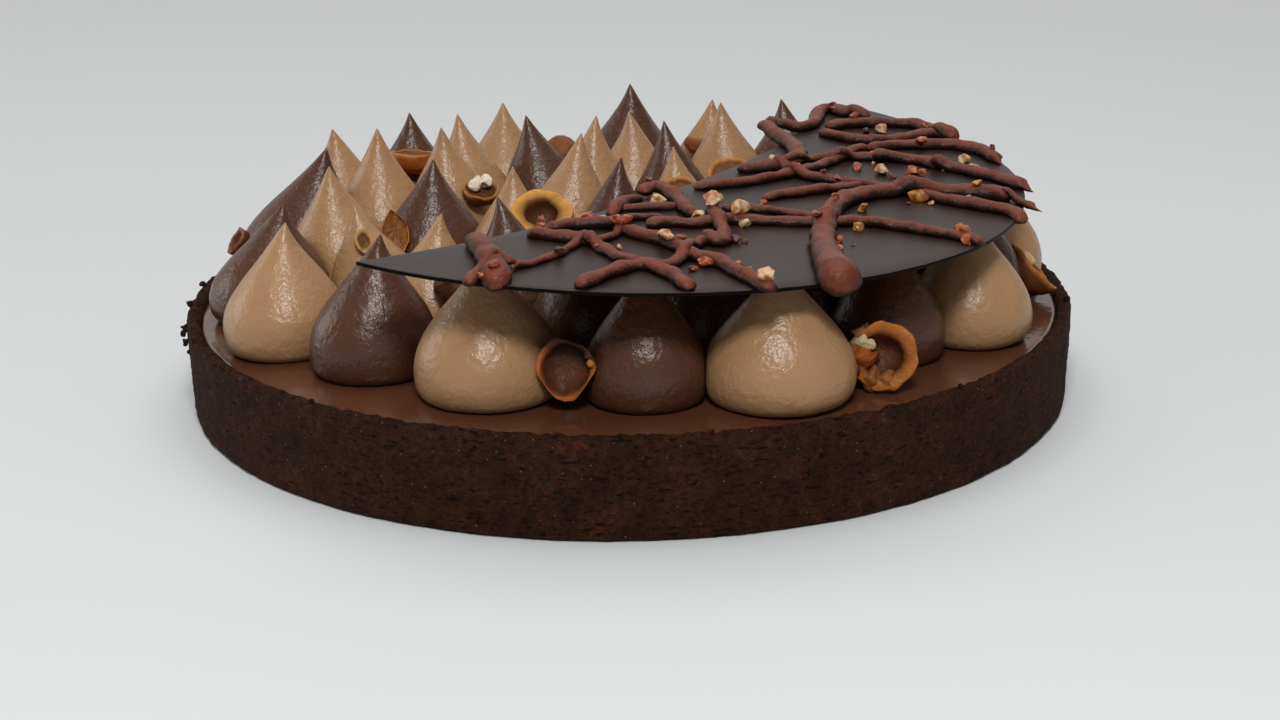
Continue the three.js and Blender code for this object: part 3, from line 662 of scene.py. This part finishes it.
roasted_nut, shader = surface("roasted_hazelnut", Roughness=0.42, Specular_IOR_Level=0.18)
place = add(roasted_nut, "TexCoord").outputs["Object"]
carried = add(roasted_nut, "Attribute", attribute_name="tint").outputs["Color"]
patchy = {"Vector": place, "Scale": METRE / 2.4, "Detail": 5, "Roughness": 0.6}
blotch = add(roasted_nut, "TexNoise", patchy)
spread = {"From Min": 0.3, "From Max": 0.7, "To Min": 0.72, "To Max": 1.2}
shade = add(roasted_nut, "MapRange", {"Value": blotch, **spread})
shaded = {SHARE: 1.0, UNDER: carried, OVER: shade}
roasted = add(roasted_nut, "Mix", shaded, data_type="RGBA", blend_type="MULTIPLY")
wrinkle = add(roasted_nut, "TexNoise", {"Vector": place, "Scale": METRE / 0.8, "Detail": 3})
relief = add(roasted_nut, "Bump", {"Height": wrinkle, "Distance": 0.0003, "Strength": 0.8})
painted(roasted_nut, shader, Base_Color=roasted.outputs[MIXED], Normal=relief.outputs["Normal"])

for number, nut in enumerate(HAZELNUTS, 1):
    name, node = f"nut_half_{number:02d}", f"hazelnut_{number:02d}"
    finished(name, half_nut(*nut), roasted_nut, "roasted_nut", node)

# ---- chocolate crescent ----
# Tempered dark chocolate spread thin, cut with two round cutters and laid on the peaks: flat and
# satin, with a crisp edge that is only a little uneven.

ARC_STEPS = 140
ROWS_ACROSS = 12
EASED_EDGE = 0.2
PLATE_WARP, WARP_WIDTH = 0.15, 28
PLATE_RAG, RAG_WIDTH = 0.07, 1.8
CUT_ANGLE = 35  # degrees, from which an edge of the plate is drawn sharp


def crescent_sheet():
    """The crescent between its outer and inner arc, with rows across it, thick and with eased edges."""
    bm = bmesh.new()
    loops = []
    for centre in (CRESCENT_CENTRE, HOLLOW_CENTRE):
        start = bm.verts.new((*TIPS[0], 0))
        first, last = TIPS[0] - centre, TIPS[1] - centre
        angle = math.radians(CRESCENT_TIP_ANGLES[1] - CRESCENT_TIP_ANGLES[0])
        if centre is HOLLOW_CENTRE:
            angle = first.angle_signed(last) * -1
        before = set(bm.edges)
        bmesh.ops.spin(bm, geom=[start], cent=(*centre, 0), axis=(0, 0, 1), angle=angle, steps=ARC_STEPS)
        loops.append([edge for edge in bm.edges if edge not in before])
    rungs = bmesh.ops.bridge_loops(bm, edges=loops[0] + loops[1])["edges"]
    bmesh.ops.subdivide_edges(bm, edges=rungs, cuts=ROWS_ACROSS, use_grid_fill=True)
    bmesh.ops.remove_doubles(bm, verts=bm.verts, dist=1e-3)
    raised = bmesh.ops.extrude_face_region(bm, geom=bm.faces[:])["geom"]
    upper = [item for item in raised if isinstance(item, bmesh.types.BMVert)]
    bmesh.ops.translate(bm, vec=(0, 0, CRESCENT_THICKNESS), verts=upper)
    bmesh.ops.recalc_face_normals(bm, faces=bm.faces)
    corners = [edge for edge in bm.edges if edge.calc_face_angle(0) > 1]
    eased = {"offset": EASED_EDGE, "segments": 2, "profile": 0.5, "affect": "EDGES", "material": -1}
    bmesh.ops.bevel(bm, geom=corners, **eased)
    face_side = bm.verts.layers.float.new("face_side")
    for vertex in bm.verts:
        vertex[face_side] = float(vertex.co.z > CRESCENT_THICKNESS - 0.01)
        flat = vertex.co.copy()
        warp = PLATE_WARP * noise.noise(flat / WARP_WIDTH)
        vertex.co.z += crescent_top(flat.x, flat.y) - CRESCENT_THICKNESS + warp
        vertex.co += noise.noise_vector(Vector((flat.x, flat.y, 0)) / RAG_WIDTH) * PLATE_RAG
    return bm


tempered, shader = surface("tempered_dark_chocolate", Roughness=0.4)
place = add(tempered, "TexCoord").outputs["Object"]
cloud = add(tempered, "TexNoise", {"Vector": place, "Scale": METRE / 18, "Detail": 4})
tones = {SHARE: cloud, UNDER: linear("#23130d"), OVER: linear("#2f1c14")}
tone = add(tempered, "Mix", tones, data_type="RGBA")
dust = add(tempered, "TexVoronoi", {"Vector": place, "Scale": METRE / 2.6})
pick = add(tempered, "SeparateColor", {"Color": dust.outputs["Color"]})
few = add(tempered, "Math", {0: pick.outputs["Red"], 1: 0.93}, operation="GREATER_THAN")
tiny = add(tempered, "Math", {0: dust.outputs["Distance"], 1: 0.06}, operation="LESS_THAN")
speck = add(tempered, "Math", {0: few, 1: tiny}, operation="MULTIPLY")
dusty = {SHARE: speck, UNDER: tone.outputs[MIXED], OVER: linear("#6b4a38")}
dusted = add(tempered, "Mix", dusty, data_type="RGBA")
smear = add(tempered, "TexNoise", {"Vector": place, "Scale": METRE / 6, "Detail": 3})
relief = add(tempered, "Bump", {"Height": smear, "Distance": 0.0002, "Strength": 0.25})
# Painted shade: the cut edge is coloured near black and made less shiny, for the dark it reflects.
face_side = add(tempered, "Attribute", attribute_name="face_side").outputs["Fac"]
sides = {SHARE: face_side, UNDER: linear("#0c0706"), OVER: dusted.outputs[MIXED]}
edge_painted_shade = add(tempered, "Mix", sides, data_type="RGBA")
sheen = add(tempered, "MapRange", {"Value": face_side, "To Min": 0.05, "To Max": 0.38})
painted(
    tempered, shader, Base_Color=edge_painted_shade.outputs[MIXED], Specular_IOR_Level=sheen.outputs["Result"],
    Normal=relief.outputs["Normal"],
)

sheet = crescent_sheet()
resting_on = sheet.copy()
plate = finished("crescent_plate", sheet, tempered, "dark_chocolate", "chocolate_crescent")
plate.data.set_sharp_from_angle(angle=math.radians(CUT_ANGLE))

# ---- chocolate strands ----
# Thicker chocolate piped over the crescent in crossing strands from a small hole: reddish brown
# and satin, flattened where they lie, slumped over each other where they cross, with blunt ends.
# Painted light: each strand is coloured lighter along its top and darker down its sides.

# Width, route in plan, and what is special: a swollen last end, a thin tail, or an end that hangs.
STRANDS = [
    (3, [(15, -19), (22, -16), (28, -12.5), (37, -5), (45, 4), (50, 12), (54, 19), (57, 21)], {}),
    (4, [(33.5, 41), (36, 30), (39.5, 19), (39, 7), (33, 0), (25, -3)], {}),
    (2.8, [(36, 2), (40, 6), (44, 9), (50, 11), (57, 12), (63, 11.5)], {}),
    (2.8, [(29.5, -26), (36, -22), (41.5, -19), (47, -16), (52, -14)], {}),
    (3, [(34, 2), (38, -4), (43, -8.5), (50, -11.5), (56, -14), (62, -17)], {}),
    (3.4, [(57, 11), (62, 10.5), (68, 9.5), (72, 5)], {}),
    (3.6, [(70, 6), (76, 3), (81, -1.5), (85.5, -6.5), (88, -10)], {"tail": 2}),
    (3.4, [(47, 35.5), (51, 31), (55.5, 28), (64, 29.5), (70, 34), (75, 37), (79, 33)], {}),
    (3.6, [(57, 19), (61, 22), (65.5, 24), (75, 25.5), (80, 24), (84, 20.5), (86, 14)], {"tail": 2}),
    (3.6, [(49, 40), (53, 43.5), (60, 45.5), (70, 46), (75, 40), (79, 31)], {}),
    (
        3.6,
        [
            (34, 41), (38.5, 41), (42.5, 39), (45.8, 44), (47.5, 52), (49, 58), (52, 60), (54, 56),
            (57, 58), (60, 53),
        ],
        {},
    ),
    (3.6, [(61, -17.5), (65, -20.5), (70.5, -25), (77.5, -29), (82, -31.5), (84.5, -36)], {"hang": 1}),
    (2.6, [(20, -35), (27, -35), (34, -38), (40, -41)], {}),
    (
        3.2,
        [
            (4, -50), (9, -48), (14, -48), (21, -45), (29, -45), (37, -45), (43, -44), (49, -43),
            (56, -45.5), (63, -49), (69, -52.5), (73, -55.5),
        ],
        {},
    ),
    (
        4.6,
        [
            (84, -21), (80, -18.5), (73.5, -18), (66, -18.5), (60, -19), (53, -21.5), (47.5, -27),
            (44, -34), (41.5, -45), (40, -56), (39.5, -69), (41, -87),
        ],
        {"swell": 1.9, "hang": 2.6},
    ),
    (2.2, [(82, -19.5), (85, -22), (87.5, -26)], {"tail": 2}), (2.6, [(-3, -38), (5, -36), (11, -35)], {}),
    (3, [(-3, -42), (-1, -34), (3, -30)], {}),
    (3.6, [(3, -25), (6, -21), (9, -24), (11, -30), (13, -38), (15, -42)], {}),
    (3.6, [(-1, -54), (3, -58), (7, -61), (11, -66), (13, -71), (18, -75), (22, -82), (27.5, -91.5)], {}),
    (3.6, [(-20, -59), (-14, -61), (-8, -63), (-5, -65)], {}),
    (
        2.8,
        [
            (-8, -63), (-6, -66), (-4, -69), (-2, -73), (0, -75), (3, -76), (8, -77), (11, -72), (14, -63),
            (17, -58),
        ],
        {},
    ),
    (3.2, [(16, -57), (19, -61), (20, -54), (19, -46), (18, -36)], {}),
    (
        2.2,
        [
            (-23, -82), (-18, -78), (-13, -71), (-9, -63), (-5, -61), (-2, -57), (-1, -50), (1, -45),
            (5, -44), (8, -46),
        ],
        {},
    ),
    (3.4, [(-9, -93), (-6, -88), (-2, -82.5), (3, -78.5), (8, -83), (12, -92)], {}),
    (3.4, [(-16, -55), (-11, -52), (-4, -51), (0, -53)], {}),
    (5.2, [(-30.5, -64.5), (-29, -69), (-27, -76), (-25, -84), (-24.5, -91.5)], {"swell": 1.25, "hang": 2}),
    (2.6, [(-29.5, -93.5), (-28.5, -86), (-25.5, -80), (-21.5, -81.5)], {}),
]
STRAND_SPACING = 0.8
STRAND_SIDES = 14
STRAND_SINK = 0.25  # share of its height that a strand settles into what it lies on
STRAND_SLUMP = 0.72  # height of a strand as a share of its width
BLUNT_REACH, BLUNT_LEAST = 0.45, 0.12  # how a strand narrows to its end
UNEVEN, UNEVEN_WIDTH = 0.16, 4.5  # how its width wavers
CROSSING = 0.6  # share of two radii within which one strand climbs over another
SAG_ROUNDS, SAG_MOST = 3, 0.25  # how a strand sags between what holds it up
HANG_FROM = 5  # where a hanging end begins, in mm from the end
TAIL_MORE = 4  # steps of a thin tail beyond its own length
LUMPY, LUMPY_WIDTH = 0.4, 3.2
GRAINY, GRAINY_WIDTH = 0.08, 1.6
LAID = []  # place and radius of every point of the strands laid so far


def smooth_route(marks):
    """Points about one spacing apart on a smooth curve through the marks."""
    marks = [Vector((x, y, 0)) for x, y in marks]
    longer = [2 * marks[0] - marks[1], *marks, 2 * marks[-1] - marks[-2]]
    points = [marks[0]]
    for before, start, end, after in zip(longer, longer[1:], longer[2:], longer[3:]):
        count = max(3, round((end - start).length / STRAND_SPACING) + 1)
        leaves, arrives = start + (end - before) / 6, end - (after - start) / 6
        points += interpolate_bezier(start, leaves, arrives, end, count)[1:]
    return points


def strand_radii(points, width, swell, tail):
    """The radius at each point: blunt at the ends, uneven, and swollen or thin at the last end."""
    radii = []
    last = len(points) - 1
    for index, point in enumerate(points):
        from_end = min(index, last - index) * STRAND_SPACING
        blunt = 1 - (1 - min(1, from_end / (width * BLUNT_REACH))) ** 2
        radius = width / 2 * math.sqrt(max(BLUNT_LEAST, min(1, blunt)))
        radius *= 1 + (swell - 1) * (index / last) ** 6
        radius *= 1 + UNEVEN * noise.noise(point / UNEVEN_WIDTH)
        if tail and index > last + 1 - tail - TAIL_MORE:
            radius *= max(0.08, (last - index) / (tail + TAIL_MORE))
        radii.append(radius)
    return radii


def strand_heights(points, radii):
    """The height at each point: on the crescent, or over earlier strands, with a little sag."""
    heights = []
    for point, radius in zip(points, radii):
        height = crescent_top(point.x, point.y) + radius * STRAND_SLUMP * (1 - STRAND_SINK)
        for x, y, z, other in LAID:
            apart = (point.x - x) ** 2 + (point.y - y) ** 2
            reach = (radius + other) * CROSSING
            if apart < reach * reach:
                height = max(height, z + STRAND_SLUMP * math.sqrt(reach * reach - apart))
        heights.append(height)
    for _ in range(SAG_ROUNDS):
        heights = [
            max(here * 0.5 + (before + after) * 0.25, here - SAG_MOST)
            for before, here, after in zip([heights[0], *heights], heights, [*heights[1:], heights[-1]])
        ]
    return heights


def laid_strand(width, marks, swell=1, tail=0, hang=0):
    """The middle line and radius of a strand that lies on the crescent and on earlier strands."""
    points = smooth_route(marks)
    if tail:
        onwards = (points[-1] - points[-2]).normalized()
        points += [points[-1] + onwards * STRAND_SPACING * n for n in range(1, tail + TAIL_MORE)]
    radii = strand_radii(points, width, swell, tail)
    for index, (point, height) in enumerate(zip(points, strand_heights(points, radii))):
        over_edge = max(0, 1 - (len(points) - 1 - index) * STRAND_SPACING / HANG_FROM)
        point.z = height - hang * over_edge**2
    LAID.extend((point.x, point.y, point.z, radius) for point, radius in zip(points, radii))
    return points, radii


def drawn_strand(points, radii):
    """A rope drawn along the points by extruding one ring after another."""
    bm = bmesh.new()
    painted_top_light = bm.verts.layers.float.new("painted_top_light")
    places = []
    for index, (point, radius) in enumerate(zip(points, radii)):
        after = points[min(index + 1, len(points) - 1)]
        ahead = (after - points[max(index - 1, 0)]).normalized()
        side = Vector((0, 0, 1)).cross(ahead).normalized()
        over = ahead.cross(side)
        axes = Matrix((side * radius, over * radius * STRAND_SLUMP, ahead * radius)).transposed()
        places.append(Matrix.Translation(point) @ axes.to_4x4())
    ring = bmesh.ops.create_circle(bm, cap_ends=False, segments=STRAND_SIDES, radius=1)["verts"]
    # Painted top light: each point keeps its height on the rope's section, from 0 below to 1 on top.
    for vertex in ring:
        vertex[painted_top_light] = vertex.co.y * 0.5 + 0.5
        vertex.co.x *= 1.06 - 0.12 * vertex.co.y
    bmesh.ops.transform(bm, matrix=places[0], verts=ring)
    edges = list({edge for vertex in ring for edge in vertex.link_edges})
    first = edges
    for before, after in zip(places, places[1:]):
        grown = bmesh.ops.extrude_edge_only(bm, edges=edges)["geom"]
        ring = [item for item in grown if isinstance(item, bmesh.types.BMVert)]
        bmesh.ops.transform(bm, matrix=after @ before.inverted(), verts=ring)
        for vertex in ring:
            vertex[painted_top_light] = (after.inverted() @ vertex.co).y * 0.5 + 0.5
        edges = [
            item for item in grown
            if isinstance(item, bmesh.types.BMEdge) and all(vertex in ring for vertex in item.verts)
        ]
    bmesh.ops.contextual_create(bm, geom=first)
    bmesh.ops.contextual_create(bm, geom=edges)
    bmesh.ops.recalc_face_normals(bm, faces=bm.faces)
    return bm


strands = bmesh.new()
for width, marks, special in STRANDS:
    take_in(strands, drawn_strand(*laid_strand(width, marks, **special)))
for vertex in strands.verts:
    lumps = noise.noise_vector(vertex.co / LUMPY_WIDTH) * LUMPY
    vertex.co += lumps + noise.noise_vector(vertex.co / GRAINY_WIDTH) * GRAINY

piped, shader = surface("piped_milk_and_dark_chocolate_painted_top_light", Roughness=0.4, Specular_IOR_Level=0.22)
place = add(piped, "TexCoord").outputs["Object"]
cloud = add(piped, "TexNoise", {"Vector": place, "Scale": METRE / 7, "Detail": 5, "Roughness": 0.6})
# Painted light: the strands are lighter along their tops and darker down their sides, mixed with random
# tone and grain.
painted_top_light = add(piped, "Attribute", attribute_name="painted_top_light").outputs["Fac"]
grain = add(piped, "TexNoise", {"Vector": place, "Scale": METRE / 0.9, "Detail": 3})
lit = add(piped, "Math", {0: cloud, 1: 0.5, 2: painted_top_light}, operation="MULTIPLY_ADD")
sandy = add(piped, "Math", {0: grain, 1: 0.5, 2: lit}, operation="MULTIPLY_ADD")
upper = add(piped, "MapRange", {"Value": sandy, "From Min": 1.05, "From Max": 1.6})
tones = {SHARE: upper, UNDER: linear("#28130b"), OVER: linear("#7b3c25")}
tone = add(piped, "Mix", tones, data_type="RGBA")
relief = add(piped, "Bump", {"Height": grain, "Distance": 0.0005, "Strength": 0.5})
painted(piped, shader, Base_Color=tone.outputs[MIXED], Normal=relief.outputs["Normal"])

under_crumbs = strands.copy()
finished("crescent_strands", strands, piped, "dark_chocolate", "chocolate_crescent")

# ---- nut crumbs ----
# Chopped caramelised hazelnut strewn on the strands while they were soft: broken lumps from 1 to
# 3 mm, some pale inside, some orange with caramel, some dark.

CRUMB_COLOURS = {
    "pale": ("#a0633c", "#d6b088"), "orange": ("#843a19", "#b8673a"), "red": ("#5f2718", "#8f4a30"),
    "gold": ("#8a4c1e", "#c28a42"), "yellow": ("#a8703c", "#d9c095"), "brown": ("#3a1d10", "#63371f"),
}
CRUMB_REST = 0.28  # height of a crumb's middle over what it lies on, as a share of its size
DROP_FROM = 90  # well above the tart
BROKEN_ANGLE = 30  # degrees, from which an edge of a crumb is drawn sharp
# Place in plan and size, by colour.
CRUMBS = {
    "pale": [
        (-12.5, -50, 2.4), (-4.7, -48, 2.8), (18, -37, 4.2), (27, -89, 3.4), (62, 39, 3.2), (79.5, 4, 3),
        (38.5, 1.5, 2.3), (34, 9, 2.2), (58, -0.5, 3.2), (8, -64, 3.4), (66, -25.5, 1.5), (74, -25, 1.2),
        (57, 8, 1), (58, -44, 1), (-1.5, -65.5, 1.3),
    ],
    "orange": [
        (-17.5, -48, 1.8), (-17.5, -53, 1.8), (-8.5, -47, 3.4), (-6.5, -47.5, 2.2), (-1.8, -54, 3.2),
        (0, -53, 2), (15.3, -76, 3), (19, -72, 1.8), (22, -76, 2), (24, -77.5, 1.4), (29.5, -30, 1.8),
        (68, 51, 1.8), (70, 23.5, 2.4), (65.5, 27.5, 1.6), (58, 15.5, 2.6), (52.5, 3.5, 2.8),
        (65, -1.5, 3.6), (67, 0, 2.2), (43, -56.5, 2.2), (42.4, -63.5, 2.2), (70, -46.5, 3.2),
        (69, -51, 2.8), (69.3, -55.2, 2.8), (44.5, -34, 1.8), (-27.5, -90, 1.6), (22.5, -42.5, 2),
    ],
    "red": [
        (56, 46, 2.5), (74.5, 6.5, 1.8), (60, -3.5, 1.8), (39.5, -47, 2.4), (47, -11.5, 1.6),
        (-6, -68, 1.3), (11, -63, 2.2), (50, 45, 1.6), (52, 57, 2), (44, -9, 1.4), (5, -20, 1.8),
        (13, -79, 1.6), (-25, -89, 2), (86, 18, 1.4),
    ],
    "gold": [(73, 40, 2.2), (63.5, -22.5, 3.4), (50.5, -32, 2.8), (77, -18.5, 2.2), (48, -47.5, 2.5)],
    "yellow": [(6.5, -32, 2.8), (15, -42.5, 3.6), (23.6, -44, 4), (24.5, -47, 2.4), (78.5, 12, 2.9)],
    "brown": [
        (58.5, 38.5, 2), (-13.2, -73, 1.9), (-22.4, -83, 1.9), (37, -60.5, 1.4), (61, -26, 1),
        (46, -58, 1.1), (21.8, -58.5, 2.3), (24, -58.5, 1.4),
    ],
}


def nut_crumb(bm, x, y, size, ground):
    """One lump, broken flat on a few sides, that rests on the highest thing under it."""
    chance = random.Random(f"{x} {y} {size}")
    hit = ground.ray_cast(Vector((x, y, DROP_FROM)), Vector((0, 0, -1)))[0]
    height = (hit.z if hit else crescent_top(x, y)) + size * CRUMB_REST
    lump = bmesh.ops.create_icosphere(bm, subdivisions=3, radius=0.5)["verts"]
    chipped(lump, 0.5, chance, 0.44, 0.76)
    for vertex in lump:
        vertex.co += noise.noise_vector(vertex.co * 2.2 + Vector((x, y, 0))) * 0.12
        vertex.co += noise.noise_vector(vertex.co * 7 + Vector((x, y, 0))) * 0.04
    long, wide, high = chance.uniform(1.05, 1.5), chance.uniform(0.85, 1.15), chance.uniform(0.75, 1)
    turn = Matrix.Rotation(chance.uniform(0, math.tau), 4, "Z")
    tip = Matrix.Rotation(chance.uniform(-0.6, 0.6), 4, "X")
    shape = Matrix.Diagonal((long, wide, high, 1)) @ Matrix.Scale(size, 4)
    place = Matrix.Translation((x, y, height)) @ turn @ tip @ shape
    bmesh.ops.transform(bm, matrix=place, verts=lump)


take_in(resting_on, under_crumbs)
ground = BVHTree.FromBMesh(resting_on)
resting_on.free()

for colour, rows in CRUMBS.items():
    caramelised, shader = surface(
        f"caramelised_hazelnut_{colour}", Roughness=0.38, Subsurface_Weight=0.15, Subsurface_Scale=0.001
    )
    place = add(caramelised, "TexCoord").outputs["Object"]
    cloud = add(caramelised, "TexNoise", {"Vector": place, "Scale": METRE / 1.6, "Detail": 4})
    patch = add(caramelised, "MapRange", {"Value": cloud, "From Min": 0.4, "From Max": 0.58})
    caramel, meat = CRUMB_COLOURS[colour]
    tones = {SHARE: patch, UNDER: linear(caramel), OVER: linear(meat)}
    tone = add(caramelised, "Mix", tones, data_type="RGBA")
    relief = add(caramelised, "Bump", {"Height": cloud, "Distance": 0.0003, "Strength": 0.6})
    painted(caramelised, shader, Base_Color=tone.outputs[MIXED], Normal=relief.outputs["Normal"])
    crumbs = bmesh.new()
    for x, y, size in rows:
        nut_crumb(crumbs, x, y, size, ground)
    piece = finished(f"nut_crumbs_{colour}", crumbs, caramelised, "dark_chocolate", "chocolate_crescent")
    piece.data.set_sharp_from_angle(angle=math.radians(BROKEN_ANGLE))
